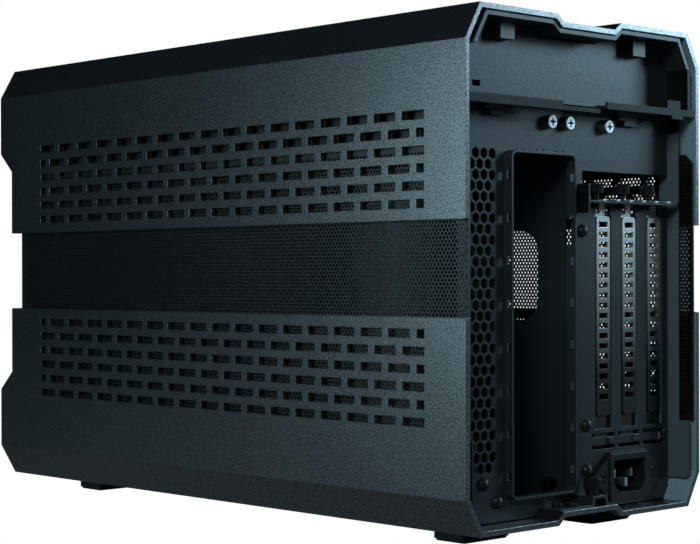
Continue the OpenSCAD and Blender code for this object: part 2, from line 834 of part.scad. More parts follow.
// Upright plate that carries the motherboard
module motherboard_tray() {
    cut_y1 = panel_y - cutout_inset;
    tray_y0 = front_wall_y + 15;
    color([0.14, 0.16, 0.175]) lift() along_x(tray_x, tray_face_x) difference() {
        translate([tray_y0, valley_z_in]) square([panel_back_y - tray_y0, skirt_z0 - valley_z_in - 1]);
        translate([cut_y1 - cutout_l / 2, cutout_top - cutout_h / 2])
            round_rect(cutout_l, cutout_h, cutout_r);
        translate([panel_y - 5.1, tray_notch_z0]) square([3.5, tray_notch_z1 - tray_notch_z0]);
        translate([-24, 27]) round_rect(24, 24, 8);
        for (y = [board_rear_y, board_rear_y - board_dy], s = [-1, 1])
            translate([y, board_mid_z + s * board_dz / 2]) circle(standoff_bore_r);
    }
}

valley_z_in = valley_depth + base_d + sheet;

module tray_standoffs() {
    color([0.72, 0.6, 0.3]) lift()
        for (y = [board_rear_y, board_rear_y - board_dy], s = [-1, 1])
            translate([tray_face_x, y, board_mid_z + s * board_dz / 2]) rotate([0, 90, 0])
                difference() {
                    cylinder(h = standoff_h, r = standoff_w / sqrt(3), $fn = 6);
                    translate([0, 0, -cut]) cylinder(h = standoff_h + 2 * cut, r = standoff_bore_r);
                }
}

// Upright plate that the power supply is screwed to
module psu_bracket() {
    x1 = panel_half;
    z0 = valley_z_in + fit_gap;
    z1 = psu_z + psu_dz / 2 + 12;
    floor_line = upside_down(roof(base_d + sheet + fit_gap, shell_h - z1));
    color([0.13, 0.15, 0.16]) lift() difference() {
        union() {
            along_y(psu_y - sheet, psu_y) intersection() {
                polygon(floor_line);
                translate([tray_face_x, 0]) square([x1 - tray_face_x, z1]);
            }
            box(tray_face_x, tray_face_x + sheet, psu_y, psu_y + psu_flange, z0, z1);
            box(x1 - sheet, x1, psu_y, psu_y + psu_flange, z0 + 6, z1);
        }
        along_y(psu_y - 2 * sheet, psu_y + cut) translate([psu_x, psu_z]) {
            round_rect(psu_open_w, psu_open_h, 4);
            for (sx = [-1, 1], sz = [-1, 1])
                translate([sx * psu_dx / 2, sz * psu_dz / 2]) circle(psu_hole_r);
        }
        for (z = psu_rivet_z) translate([tray_face_x - cut, psu_y + psu_flange / 2, z])
            rotate([0, 90, 0]) cylinder(h = 4, r = 1.5 + screw_gap);
    }
}

psu_rivet_z = [psu_z - 45, psu_z + 45];

module psu_bracket_rivets() {
    color([0.35, 0.37, 0.38]) lift() for (z = psu_rivet_z)
        translate([tray_face_x, psu_y + psu_flange / 2, z]) rotate([0, 90, 0]) {
            cylinder(h = sheet + 0.2, r = 1.5);
            translate([0, 0, sheet]) cylinder(h = 1, r = 3);
        }
}

// Bracket that the slot covers and cards are screwed to
module slot_shelf() {
    y0 = panel_y - shelf_in;
    y1 = panel_y + shelf_out;
    tooth_pitch = pci_pitch / 2;
    color([0.08, 0.09, 0.1]) lift() difference() {
        union() {
            box(shelf_x0 - 6, shelf_x1, y0, y1, shelf_z, shelf_z + sheet);
            box(shelf_x0, shelf_x0 - 6, panel_y, y1, shelf_z, shelf_z + sheet);
            box(shelf_x0, shelf_x0 - sheet, panel_y, y1, shelf_z - 4.8, shelf_z + 9);
            for (i = [0:5])
                translate([pci_x + 2.2 - i * tooth_pitch, 0, 0])
                    box(-tooth_w / 2, tooth_w / 2, y1 - 1, y1, shelf_z, shelf_z + sheet + tooth_h);
        }
        for (i = [0:pci_count - 1]) translate([pci_x - i * pci_pitch, 0, 0]) {
            box(-neck_shift - neck_w / 2 - fit_gap, neck_w / 2 - neck_shift + fit_gap, cover_back_y - fit_gap,
                cover_back_y + cover_plate_t + fit_gap, shelf_z - cut, shelf_z + 2 * sheet);
            translate([thumb_x, panel_y + thumb_out, shelf_z - cut])
                cylinder(h = 4, r = thumb_shank_r + screw_gap);
        }
    }
}

cover_back_y = panel_back_y - fit_gap - cover_plate_t;

// Blanking plate with a raised, vented band and a fixing tab
module slot_cover(i) {
    face_y = cover_back_y + cover_plate_t;
    tab_z = shelf_z + sheet;
    color([0.3, 0.34, 0.36]) lift() translate([pci_x - i * pci_pitch, 0, 0]) difference() {
        union() {
            along_y(cover_back_y, face_y) {
                translate([-cover_plate_w / 2, band_z0 - 5])
                    square([cover_plate_w, cover_plate_z1 - band_z0 + 5]);
                translate([-band_w / 2, cover_plate_z0])
                    square([band_w, band_z0 - cover_plate_z0]);
                translate([-neck_shift - neck_w / 2, cover_plate_z1 - cut])
                    square([neck_w, tab_z + cover_plate_t - cover_plate_z1 + cut]);
            }
            along_y(face_y, panel_y + band_proud)
                translate([0, (band_z0 + band_z1) / 2]) round_rect(band_w, band_z1 - band_z0, band_r);
            box(-tab_w / 2, tab_w / 2, cover_back_y, cover_back_y + tab_d, tab_z,
                tab_z + cover_plate_t);
        }
        along_y(cover_back_y - cut, panel_y + band_proud - cover_plate_t)
            translate([0, (band_z0 + band_z1) / 2])
                round_rect(band_w - 2 * cover_plate_t, band_z1 - band_z0 - 2 * cover_plate_t, 1);
        along_y(cover_back_y - cut, panel_y + 2) for (k = [0:window_count - 1])
            translate([-window_w / 2, window_top_z - k * window_pitch - window_h / 2])
                square([window_w, window_h]);
        translate([thumb_x, panel_y + thumb_out, tab_z - cut])
            cylinder(h = 4, r = thumb_shank_r + 0.3);
    }
}

module slot_cover_1() {
    slot_cover(0);
}

module slot_cover_2() {
    slot_cover(1);
}

module slot_cover_3() {
    slot_cover(2);
}

// Knurled head as a many-toothed prism with a plain shank
module knurled_head(r, h) {
    teeth = 24;
    linear_extrude(h) difference() {
        circle(r);
        for (i = [0:teeth - 1]) rotate(i * 360 / teeth) translate([r, 0])
            rotate(45) square(r * 0.1, center = true);
    }
}

module slot_thumbscrew(i) {
    z0 = shelf_z + sheet + cover_plate_t + thumb_gap;
    color([0.05, 0.055, 0.06]) lift()
        translate([pci_x - i * pci_pitch + thumb_x, panel_y + thumb_out, 0]) {
            translate([0, 0, z0]) difference() {
                knurled_head(thumb_r, thumb_h);
                translate([-thumb_r, -0.5, thumb_h - 0.8]) cube([2 * thumb_r, 1, 2]);
            }
            translate([0, 0, shelf_z - 2]) cylinder(h = z0 - shelf_z + 2.1, r = thumb_shank_r);
        }
}

module slot_thumbscrew_1() {
    slot_thumbscrew(0);
}

module slot_thumbscrew_2() {
    slot_thumbscrew(1);
}

module slot_thumbscrew_3() {
    slot_thumbscrew(2);
}

// Cross recess for a screwdriver, on a head's outer face at z = 0
module cross_recess(size, depth) {
    for (a = [0, 90]) rotate(a)
        translate([-size / 2, -size * 0.13, -depth]) cube([size, size * 0.26, depth + cut]);
}

// Screw whose head's outer face is at z = 0 and whose shank points down
module pan_screw(head_r, head_t, shank_r, shank_l) {
    difference() {
        union() {
            translate([0, 0, -head_t]) cylinder(h = head_t - 0.4, r = head_r);
            translate([0, 0, -0.4 - 0.01]) cylinder(h = 0.41, r1 = head_r, r2 = head_r - 0.4);
            translate([0, 0, -head_t - shank_l]) cylinder(h = shank_l + 0.1, r = shank_r);
        }
        cross_recess(head_r * 1.1, head_t * 0.5);
    }
}

// Turns a screw drawn along z so that its head faces the rear
module facing_rear(x, y, z) {
    translate([x, y, z]) rotate([-90, 0, 0]) children();
}

module frame_screws() {
    color([0.55, 0.6, 0.62]) lift() for (x = frame_screw_x)
        facing_rear(x, panel_y + frame_head_t, frame_screw_z)
            pan_screw(frame_head_r, frame_head_t, frame_screw_r, 5);
}

// Domed plugs pressed into the rear panel
module panel_plugs() {
    color([0.03, 0.032, 0.035]) lift() for (p = plug_places)
        facing_rear(p[0], panel_y, p[1]) {
            intersection() {
                translate([0, 0, -0.7]) sphere(r = plug_r + 0.07);
                cylinder(h = plug_r, r = plug_r);
            }
            translate([0, 0, -3]) cylinder(h = 3.1, r = plug_stem_r);
        }
}

// Flange outline of the mains inlet
module inlet_outline() {
    hw = inlet_half_w;
    hh = inlet_flange_h / 2;
    k = hh * 0.98;
    polygon([[-hw, -2], [-hw, 2], [-hw + k, hh], [hw - k, hh], [hw, 2], [hw, -2],
        [hw - k, -hh], [k - hw, -hh]]);
}

// Recess outline of the socket, with two cut corners below
module socket_outline() {
    w = socket_w / 2;
    h = socket_h / 2;
    c = 4.5;
    polygon([[-w, h], [w, h], [w, -h + c], [w - c, -h], [c - w, -h], [-w, -h + c]]);
}

module inlet_housing() {
    face_y = panel_y + inlet_flange_t;
    color([0.05, 0.055, 0.06]) lift() difference() {
        union() {
            along_y(panel_y, face_y) translate([inlet_x, inlet_z]) inlet_outline();
            along_y(face_y - cut, face_y + 0.8) translate([inlet_x, inlet_z])
                round_rect(socket_body_w + 2, inlet_flange_h - 2, 2);
            along_y(face_y - socket_d - 3, panel_y + cut) translate([inlet_x, inlet_z])
                square([socket_body_w, socket_body_h], center = true);
        }
        along_y(face_y - socket_d, face_y + 2) translate([inlet_x, inlet_z]) socket_outline();
        for (s = [-1, 1])
            translate([inlet_x + s * inlet_screw_pitch / 2, face_y + cut, inlet_z])
                rotate([90, 0, 0]) {
                    cylinder(h = 8, r = inlet_screw_r + screw_gap);
                    cylinder(h = cut + 1.4, r = 3);
                }
        for (p = pin_places)
            box(inlet_x + p[0] - pin_w / 2 - screw_gap, inlet_x + p[0] + pin_w / 2 + screw_gap,
                face_y - socket_d - 4, face_y, inlet_z + p[1] - pin_h / 2 - screw_gap,
                inlet_z + p[1] + pin_h / 2 + screw_gap);
    }
}

pin_w = 2;
pin_h = 4;
pin_places = [[-7, 0.8, 3.4], [7, 0.8, 3.4], [0, -3.4, 1.5]];

module inlet_pins() {
    face_y = panel_y + inlet_flange_t;
    color([0.75, 0.77, 0.76]) lift() for (p = pin_places)
        box(inlet_x + p[0] - pin_w / 2, inlet_x + p[0] + pin_w / 2, face_y - socket_d - 8,
            face_y - p[2], inlet_z + p[1] - pin_h / 2, inlet_z + p[1] + pin_h / 2);
}

module inlet_screws() {
    face_y = panel_y + inlet_flange_t;
    color([0.06, 0.065, 0.07]) lift() for (s = [-1, 1])
        facing_rear(inlet_x + s * inlet_screw_pitch / 2, face_y - 0.2, inlet_z)
            pan_screw(2.8, 1.2, inlet_screw_r, 5);
}

bridge_x0 = -14.1;
bridge_x1 = -4.4;
bridge_top = 11;
bridge_y1 = rear_y - 2;
latch_x = -10;
latch_r = 4.1;
latch_collar_r = 3.2;
latch_collar_h = 2.9;
latch_head_h = 4.6;
latch_y = panel_y + 6.3;

// Arched bracket that stands in the valley behind the rear panel
module latch_bridge() {
    z0 = valley_top_z;
    color([0.17, 0.19, 0.21]) lift() difference() {
        along_y(panel_y, bridge_y1) polygon([[bridge_x0 - 1.8, z0], [bridge_x0, bridge_top],
            [bridge_x1, bridge_top], [bridge_x1 + 0.6, z0], [bridge_x1 - 0.6, z0],
            [bridge_x1 - 1.2, bridge_top - sheet], [bridge_x0 + 0.8, bridge_top - sheet],
            [bridge_x0 - 0.5, z0]]);
        translate([latch_x, latch_y, z0]) cylinder(h = 8, r = 2 + screw_gap);
    }
}

module captive_thumbscrew() {
    color([0.04, 0.045, 0.05]) lift() translate([latch_x, latch_y, 0]) {
        translate([0, 0, bridge_top + 0.1]) cylinder(h = latch_collar_h, r = latch_collar_r);
        translate([0, 0, bridge_top + latch_collar_h]) {
            knurled_head(latch_r, latch_head_h);
            translate([0, 0, latch_head_h]) cylinder(h = 0.8, r1 = latch_r, r2 = latch_r - 0.8);
        }
        translate([0, 0, valley_top_z + 0.1]) cylinder(h = bridge_top - valley_top_z + 0.2, r = 2);
    }
}

latch_plate_y0 = panel_y + 0.8;
latch_plate_x1 = 20;
latch_screw_places = [[14.5, panel_y + 5], [9, panel_y + 9.5]];

module latch_plate() {
    color([0.07, 0.08, 0.085]) lift() difference() {
        box(bridge_x1 + 0.9, latch_plate_x1, latch_plate_y0, rear_y - 1.5, valley_top_z, valley_top_z + 1);
        for (p = latch_screw_places)
            translate([p[0], p[1], 0]) cylinder(h = 12, r = 1.5 + screw_gap);
    }
}

module latch_plate_screws() {
    color([0.05, 0.055, 0.06]) lift() for (p = latch_screw_places)
        translate([p[0], p[1], valley_top_z + 3]) pan_screw(2.6, 2, 1.5, 0.9);
}

// Rubber foot with a counterbored screw hole
module foot(sx, y) {
    color([0.04, 0.042, 0.045]) lift() translate([sx * foot_x, y, -foot_h]) difference() {
        union() {
            translate([0, 0, 1]) linear_extrude(foot_h - 1) round_rect(foot_w, foot_l, foot_r);
            linear_extrude(1) round_rect(foot_w - 2, foot_l - 2, foot_r - 1);
        }
        translate([0, 0, -cut]) cylinder(h = foot_h + 2 * cut, r = foot_screw_r + screw_gap);
        translate([0, 0, -cut]) cylinder(h = foot_h - 2.5 + cut, r = foot_head_r + 0.4);
    }
}

module foot_front_right() {
    foot(1, -foot_front_y);
}

module foot_front_left() {
    foot(-1, -foot_front_y);
}

module foot_rear_right() {
    foot(1, foot_rear_y);
}

module foot_rear_left() {
    foot(-1, foot_rear_y);
}

module foot_screws() {
    color([0.5, 0.52, 0.53]) lift() foot_places() translate([0, 0, -2.5 - 1.8])
        rotate([180, 0, 0]) pan_screw(foot_head_r, 1.8, foot_screw_r, 2.5 + inner_floor_z + 1);
}

// Stand that holds the riser's slot over the floor
module riser_bracket() {
    color([0.13, 0.15, 0.16]) lift() {
        box(riser_x0, riser_x1, riser_y0, riser_y1, riser_z - sheet, riser_z);
        box(riser_x0, riser_x0 + sheet, riser_y0, riser_y1, inner_floor_z, riser_z);
        box(riser_x0, riser_x0 + 12, riser_y0, riser_y1, inner_floor_z, inner_floor_z + sheet);
    }
}

riser_x = pci_x + 6;
riser_x0 = riser_x - 26;
riser_x1 = tray_x - 0.3;
riser_y1 = panel_y - riser_inset;
riser_y0 = riser_y1 - riser_l;
riser_board_t = 1.6;

module riser_board() {
    color([0.05, 0.09, 0.07]) lift()
        box(riser_x0 + 2, riser_x1 - 2, riser_y0 + 3, riser_y1 - 3, riser_z, riser_z + riser_board_t);
}

// Card slot with its long groove and key
module riser_slot() {
    z0 = riser_z + riser_board_t;
    z1 = z0 + card_slot_h;
    y1 = riser_y1 - 8;
    groove_y1 = y1 - 2;
    key_y = groove_y1 - groove_short_l;
    color([0.06, 0.065, 0.07]) lift() difference() {
        box(riser_x - card_slot_w / 2, riser_x + card_slot_w / 2, y1 - card_slot_l, y1, z0, z1);
        box(riser_x - 0.9, riser_x + 0.9, key_y, groove_y1, z0 + 3, z1 + cut);
        box(riser_x - 0.9, riser_x + 0.9, key_y - 1.8 - groove_l, key_y - 1.8, z0 + 3, z1 + cut);
    }
}

// Small board behind the front sockets
io_board_y1 = fascia_y - 3.8;
io_board_y0 = io_board_y1 - 1.6;
io_stud_x0 = audio_x - 8;
io_stud_x1 = button_x + 10;
port_y0 = front_y + 0.2;
usb_c_w = 9;
usb_c_h = 3.3;
usb_a_w = 13.1;
usb_a_h = 5.7;
audio_r = 3;

module front_io_board() {
    color([0.04, 0.1, 0.07]) lift()
        box(io_stud_x0 - 4, io_stud_x1 + 4, io_board_y0, io_board_y1, port_z - 10, port_z + 10);
}

module usb_c_port() {
    color([0.6, 0.62, 0.63]) lift() translate([usb_c_x, 0, port_z]) {
        along_y(port_y0, io_board_y0) difference() {
            round_slot(usb_c_w, usb_c_h / 2);
            round_slot(usb_c_w - 0.6, usb_c_h / 2 - 0.3);
        }
        box(-usb_c_w / 2 + 1.5, usb_c_w / 2 - 1.5, port_y0 + 1.2, io_board_y0, -0.35, 0.35);
        along_y(io_board_y0 - 2, io_board_y0) round_slot(usb_c_w, usb_c_h / 2);
    }
}

module usb_a_port(i) {
    color([0.6, 0.62, 0.63]) lift() translate([usb_a_x - i * usb_a_pitch, 0, port_z]) {
        along_y(port_y0, io_board_y0) difference() {
            square([usb_a_w, usb_a_h], center = true);
            square([usb_a_w - 0.8, usb_a_h - 0.8], center = true);
        }
        box(-usb_a_w / 2 + 0.7, usb_a_w / 2 - 0.7, port_y0 + 0.8, io_board_y0, 0.2, 2);
        box(-usb_a_w / 2, usb_a_w / 2, io_board_y0 - 2, io_board_y0, -usb_a_h / 2, usb_a_h / 2);
    }
}

module usb_a_port_1() {
    usb_a_port(0);
}

module usb_a_port_2() {
    usb_a_port(1);
}

module audio_port() {
    color([0.05, 0.05, 0.055]) lift() translate([audio_x, 0, port_z]) rotate([90, 0, 0])
        translate([0, 0, -io_board_y0]) difference() {
            cylinder(h = io_board_y0 - port_y0, r = audio_r);
            translate([0, 0, 1.5]) cylinder(h = 20, r = 1.8);
        }
}

module power_switch() {
    color([0.1, 0.1, 0.11]) lift() translate([button_x, 0, port_z]) {
        box(-3.1, 3.1, io_board_y0 - 3.5, io_board_y0, -3.1, 3.1);
        translate([0, io_board_y0 - 3.4, 0]) rotate([90, 0, 0]) cylinder(h = 1.6, r = 1.7);
    }
}

module power_button() {
    wall_in = front_y + cover_t;
    stem_end = io_board_y0 - 5 - button_travel - fit_gap;
    color([0.35, 0.38, 0.4]) lift() translate([button_x, 0, port_z]) rotate([-90, 0, 0]) {
        translate([0, 0, port_y0]) cylinder(h = wall_in - port_y0 + 0.5, r = button_r);
        translate([0, 0, wall_in]) cylinder(h = 1.2, r = button_r + 1.6);
        translate([0, 0, wall_in]) cylinder(h = stem_end - wall_in, r = 2.5);
    }
}

base_frame();
bottom_cover();
rear_panel();
side_frame_right();
side_frame_left();
mesh_panel_right();
mesh_panel_left();
front_fascia();
upper_frame();
fan_bracket();
catch_right();
catch_left();
motherboard_tray();
tray_standoffs();
psu_bracket();
psu_bracket_rivets();
slot_shelf();
slot_cover_1();
slot_cover_2();
slot_cover_3();
slot_thumbscrew_1();
slot_thumbscrew_2();
slot_thumbscrew_3();
frame_screws();
panel_plugs();
inlet_housing();
inlet_pins();
inlet_screws();
latch_bridge();
captive_thumbscrew();
latch_plate();
latch_plate_screws();
foot_front_right();
foot_front_left();
foot_rear_right();
foot_rear_left();
foot_screws();
riser_bracket();
riser_board();
riser_slot();
front_io_board();
usb_c_port();
usb_a_port_1();
usb_a_port_2();
audio_port();
power_switch();
power_button();
top_cover();
top_liner();
cover_clip_right();
cover_clip_left();
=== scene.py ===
"""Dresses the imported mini-ITX case: coats, plastics, metals, perforated side sheets and studio."""

import math

import bmesh
import bpy
from bpy.props import FloatProperty, FloatVectorProperty, IntProperty, PointerProperty
from mathutils import Matrix, Vector


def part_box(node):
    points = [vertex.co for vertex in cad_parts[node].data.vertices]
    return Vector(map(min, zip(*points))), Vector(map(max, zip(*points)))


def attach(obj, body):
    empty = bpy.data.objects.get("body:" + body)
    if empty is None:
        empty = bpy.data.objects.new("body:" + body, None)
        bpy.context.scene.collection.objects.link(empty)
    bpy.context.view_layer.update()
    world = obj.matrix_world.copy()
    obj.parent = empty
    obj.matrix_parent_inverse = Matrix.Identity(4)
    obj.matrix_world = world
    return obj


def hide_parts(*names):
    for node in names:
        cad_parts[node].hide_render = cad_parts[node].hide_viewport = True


bl_info = {
    "name": "Mini-ITX case dresser",
    "version": (1, 0, 0),
    "blender": (4, 5, 0),
    "location": "View3D > Sidebar > Case",
    "description": "Adds finishes, perforated side sheets and a studio to the packed case",
    "category": "Object",
}

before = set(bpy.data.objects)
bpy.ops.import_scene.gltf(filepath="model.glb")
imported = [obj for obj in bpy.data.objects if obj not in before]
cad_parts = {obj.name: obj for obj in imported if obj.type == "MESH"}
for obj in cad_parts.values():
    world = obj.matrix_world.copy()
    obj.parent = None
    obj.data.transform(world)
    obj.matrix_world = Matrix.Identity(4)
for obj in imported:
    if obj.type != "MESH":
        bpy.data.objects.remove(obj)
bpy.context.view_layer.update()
MM = 0.001


# Settings


class CoatSettings(bpy.types.PropertyGroup):
    cover_colour: FloatVectorProperty(
        name="Cover coat", description="Colour of the top and bottom covers",
        subtype="COLOR", default=(0.005, 0.007, 0.0085))
    frame_colour: FloatVectorProperty(
        name="Frame coat", description="Colour of the folded steel sheets inside",
        subtype="COLOR", default=(0.012, 0.016, 0.018))
    mesh_colour: FloatVectorProperty(
        name="Mesh coat", description="Colour of the perforated side sheets",
        subtype="COLOR", default=(0.002, 0.0026, 0.003))
    cover_roughness: FloatProperty(
        name="Cover roughness", description="Roughness of the covers' powder coat",
        default=0.31, min=0.1, max=1.0)
    grain: FloatProperty(
        name="Grain", description="Size of the powder coat's grain",
        default=0.55 * MM, min=0.1 * MM, max=2 * MM, unit="LENGTH")
    edge: FloatProperty(
        name="Edge radius", description="Rounding that the light sees along folded and cut edges",
        default=0.45 * MM, min=0.05 * MM, max=1.5 * MM, unit="LENGTH")


class PerforationSettings(bpy.types.PropertyGroup):
    along: FloatProperty(
        name="Pitch along", description="Distance from hole to hole in a row",
        default=2.21 * MM, min=1.8 * MM, max=4 * MM, unit="LENGTH")
    upward: FloatProperty(
        name="Row pitch", description="Distance from row to row",
        default=1.73 * MM, min=1.5 * MM, max=4 * MM, unit="LENGTH")
    hole: FloatProperty(
        name="Hole width", description="Width of one hole across its flats",
        default=1.36 * MM, min=0.8 * MM, max=1.6 * MM, unit="LENGTH")
    thickness: FloatProperty(
        name="Sheet", description="Thickness of the perforated field",
        default=1.0 * MM, min=0.3 * MM, max=1.2 * MM, unit="LENGTH")
    low: FloatProperty(
        name="Field foot", description="Lower end of the perforated field",
        default=54.2 * MM, unit="LENGTH")
    high: FloatProperty(
        name="Field top", description="Upper end of the perforated field",
        default=179 * MM, unit="LENGTH")
    sheet_top: FloatProperty(
        name="Sheet top", description="Upper edge of the plain border over the field",
        default=183.6 * MM, unit="LENGTH")
    deep_columns: IntProperty(
        name="Backed columns",
        description="Columns at the rear whose holes end in the folded edge behind them",
        default=4, min=0, max=12)


class StudioSettings(bpy.types.PropertyGroup):
    eye: FloatVectorProperty(
        name="Camera", description="Where the camera stands",
        subtype="TRANSLATION", unit="LENGTH", default=(0.6594, 0.7126, 0.1234))
    heading: FloatProperty(
        name="Heading", description="Direction that the camera looks, from +X towards +Y",
        subtype="ANGLE", default=math.radians(226.357))
    pitch: FloatProperty(
        name="Pitch", description="How far the camera looks up",
        subtype="ANGLE", default=math.radians(0.081))
    roll: FloatProperty(
        name="Roll", description="How far the camera leans",
        subtype="ANGLE", default=math.radians(-0.123))
    focal_px: FloatProperty(
        name="Focal length", description="Focal length in image pixels",
        default=1775.58, min=500, max=4000)
    floor: FloatProperty(
        name="Floor size", description="Width of the pale floor",
        default=14.0, unit="LENGTH")
    fill: FloatProperty(
        name="Fill", description="Strength of the dim surroundings that light the shadows",
        default=0.004, min=0.0, max=1.0)


# Node helpers


def fill(tree, node, values):
    """Fills a node's inputs by name or index, with a link or with a plain value."""
    for key, value in values.items():
        if isinstance(value, bpy.types.NodeSocket):
            tree.links.new(value, node.inputs[key])
        else:
            node.inputs[key].default_value = value


def add(tree, kind, values=None, **settings):
    """Adds a node, sets its properties and fills its inputs."""
    node = tree.nodes.new(kind)
    for key, value in settings.items():
        setattr(node, key, value)
    fill(tree, node, values or {})
    return node


def first(tree, kind, values=None, **settings):
    """Adds a node and returns its first output."""
    return add(tree, kind, values, **settings).outputs[0]


def calculate(tree, operation, a, b):
    return first(tree, "ShaderNodeMath", {0: a, 1: b}, operation=operation)


def ramp(tree, value, span, to=(0.0, 1.0)):
    """Maps the span of values onto another, and holds its ends beyond the span."""
    return first(tree, "ShaderNodeMapRange", {
        "Value": value, "From Min": span[0], "From Max": span[1],
        "To Min": to[0], "To Max": to[1]})


# Material helpers

WHOLE = (0.0, 1.0)
MIDDLE = (0.3, 0.7)  # where most of a noise texture's values lie
FACE_TO_EDGE = (0.995, 0.8)  # cosine between the flat and the rounded normal
BEVEL_SAMPLES = 6
INNER_WALL = (-30 * MM, -60 * MM)  # X times the normal's X on walls that face the middle


def new_material(name):
    """A material, its node tree and the Principled shader in it."""
    mat = bpy.data.materials.new(name)
    mat.use_nodes = True
    tree = mat.node_tree
    tree.nodes.clear()
    shader = add(tree, "ShaderNodeBsdfPrincipled")
    add(tree, "ShaderNodeOutputMaterial", {0: shader.outputs[0]})
    return mat, tree, shader


def object_space(tree, scale=(1, 1, 1)):
    """Object coordinates in metres times scale."""
    coords = add(tree, "ShaderNodeTexCoord").outputs["Object"]
    return first(tree, "ShaderNodeMapping", {"Vector": coords, "Scale": scale})


def noise(tree, where, scale, detail=2.0, rough=0.5):
    """Noise from 0 to 1, with about as many features to the metre as scale says."""
    return add(tree, "ShaderNodeTexNoise", {
        "Vector": where, "Scale": scale, "Detail": detail, "Roughness": rough}).outputs["Fac"]


def tint(colour, factor):
    return tuple(min(1.0, channel * factor) for channel in colour)


def rgba(colour):
    return (*colour, 1.0) if isinstance(colour, tuple) else colour


def mix_colour(tree, share, a, b):
    """Colour a where the share is 0, colour b where it is 1."""
    return add(tree, "ShaderNodeMix", {0: share, 6: rgba(a), 7: rgba(b)},
               data_type="RGBA").outputs[2]


def shaded(tree, colour, pattern, span, tints):
    """The colour, from one tint to the other as the pattern goes through the span."""
    return mix_colour(tree, ramp(tree, pattern, span), tint(colour, tints[0]),
                      tint(colour, tints[1]))


def edge_mask(tree, radius):
    """Rounded normal, and a mask that is 1 along edges and 0 on faces."""
    rounded = first(tree, "ShaderNodeBevel", {"Radius": radius}, samples=BEVEL_SAMPLES)
    flat = add(tree, "ShaderNodeNewGeometry").outputs["Normal"]
    facing = add(tree, "ShaderNodeVectorMath", {0: rounded, 1: flat},
                 operation="DOT_PRODUCT").outputs["Value"]
    return rounded, ramp(tree, facing, FACE_TO_EDGE)


def wear(tree, mask, shade, colour, share, pale):
    """The shade with a share of the colour's paler tint where the mask is 1."""
    return mix_colour(tree, ramp(tree, mask, WHOLE, (0.0, share)), shade, tint(colour, pale))


def inward(tree, place):
    """1 on side walls that face the middle of the case, 0 elsewhere."""
    normal = add(tree, "ShaderNodeNewGeometry").outputs["Normal"]
    across = add(tree, "ShaderNodeSeparateXYZ", {"Vector": normal}).outputs["X"]
    return ramp(tree, calculate(tree, "MULTIPLY", across, place["X"]), INNER_WALL)


def finish(tree, shader, values, relief, strength, distance, normal=None):
    """Fills the shader's inputs and gives it a bump that follows the relief."""
    bump = {"Strength": strength, "Distance": distance, "Height": relief}
    if normal is not None:
        bump["Normal"] = normal
    fill(tree, shader, {**values, "Normal": first(tree, "ShaderNodeBump", bump)})


def give(material, *nodes):
    """Puts one material on CAD nodes."""
    for name in nodes:
        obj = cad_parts[name]
        obj.data.materials.clear()
        obj.data.materials.append(material)
        for face in obj.data.polygons:
            face.material_index = 0


# Materials

CLOUDS_PER_M = 14.0
SPECKS_PER_GRAIN = 2.3
PATCHES_PER_GRAIN = 0.8
SPECKS, SPECK_TINT = (0.55, 0.75), 2.6  # noise that shows as pale specks
PAINTED_LIGHT_SPECKS, PAINTED_LIGHT_SPECK_TINT = (0.4, 0.75), 1.5  # the same, for the painted light on walls that face the middle
PAINTED_SHADOW_TINT = 0.15  # painted shadow on those walls, higher than painted_shadow_from
PAINTED_SHADE_FOOT_TINT = 0.06  # painted shade at the foot of a piece
# Height over which the painted light on those walls turns into the painted shadow
PAINTED_SHADOW_BLEND = 1 * MM
GRAIN_RELIEF = 0.12 * MM
ROUGHNESS_SWING = 0.06


